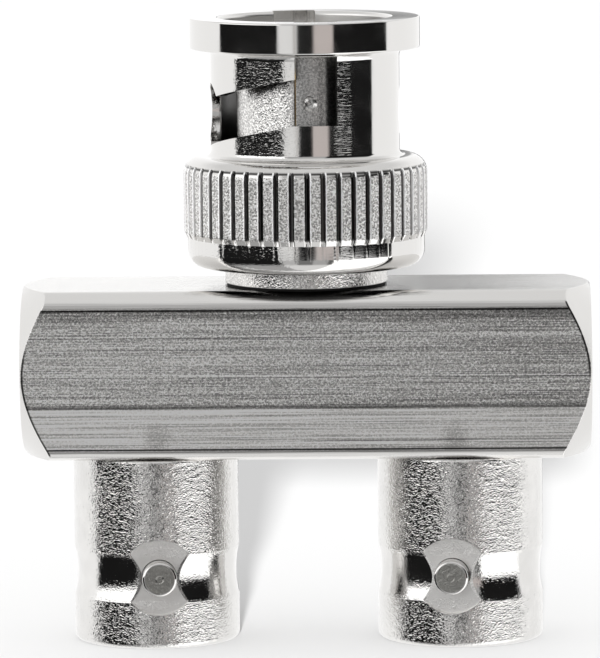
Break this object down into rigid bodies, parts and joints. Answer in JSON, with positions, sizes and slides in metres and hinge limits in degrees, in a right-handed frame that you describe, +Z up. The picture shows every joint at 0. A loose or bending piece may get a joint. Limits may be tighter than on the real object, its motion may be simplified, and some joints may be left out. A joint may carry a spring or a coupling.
{
  "type": "bnc t adapter",
  "caption": "Square nickel-plated bar with a sprung bayonet plug on top and two parallel bayonet jacks below, splitting one coaxial line in two.",
  "frame": {"origin": "midway between the two jack mouths, on the plane of their rims", "axes": "+Z up along the plug's axis, X along the bar, front face towards -Y"},
  "size_m": [0.033, 0.0142, 0.0364],
  "materials": {
    "nickel_bar": "nickel plate over a drawn square bar, lengthwise drawing lines, turned cones",
    "nickel_end_plug": "nickel plate over a turned disc",
    "brass_bar": "plain brass",
    "nickel_neck": "bright nickel plate with a fine grain",
    "nickel_tube": "nickel plate with a fine grain",
    "ptfe": "white fluoroplastic",
    "gold_contact": "gold flash over brass",
    "silicone": "soft silicone",
    "nickel_nut": "bright turned nickel plate, satin knurl",
    "nickel_washer": "plated flat washer",
    "spring_steel": "spring steel",
    "nickel_shell": "bright nickel plate with a coarse orange-peel grain",
    "nickel_stud": "bright nickel plate"
  },
  "bodies": {
    "adapter_body": {"body_block": "nickel_bar", "end_plug_left": "nickel_end_plug", "end_plug_right": "nickel_end_plug", "bus_bar": "brass_bar", "plug_body": "nickel_neck", "outer_contact": "nickel_tube", "plug_insulator": "ptfe", "plug_pin": "gold_contact", "plug_gasket": "silicone", "wave_spring": "spring_steel", "retaining_ring": "spring_steel", "jack_shell_left": "nickel_shell", "jack_insulator_left": "ptfe", "jack_contact_left": "gold_contact", "stud_left_front": "nickel_stud", "stud_left_back": "nickel_stud", "jack_shell_right": "nickel_shell", "jack_insulator_right": "ptfe", "jack_contact_right": "gold_contact", "stud_right_front": "nickel_stud", "stud_right_back": "nickel_stud"},
    "washer": {"thrust_washer": "nickel_washer"},
    "nut": {"coupling_nut": "nickel_nut"}
  },
  "joints": [
    {"name": "nut_slide", "type": "slide", "parent": "adapter_body", "child": "washer", "axis": [0, 0, 1], "range_m": [0, 0.0006], "stiffness_N_per_m": 15000, "springref_m": -0.0004, "deforming": ["wave_spring"]},
    {"name": "nut_turn", "type": "hinge", "parent": "washer", "child": "nut", "pos_m": [0, 0, 0.02914], "axis": [0, 0, 1], "continuous": true}
  ]
}
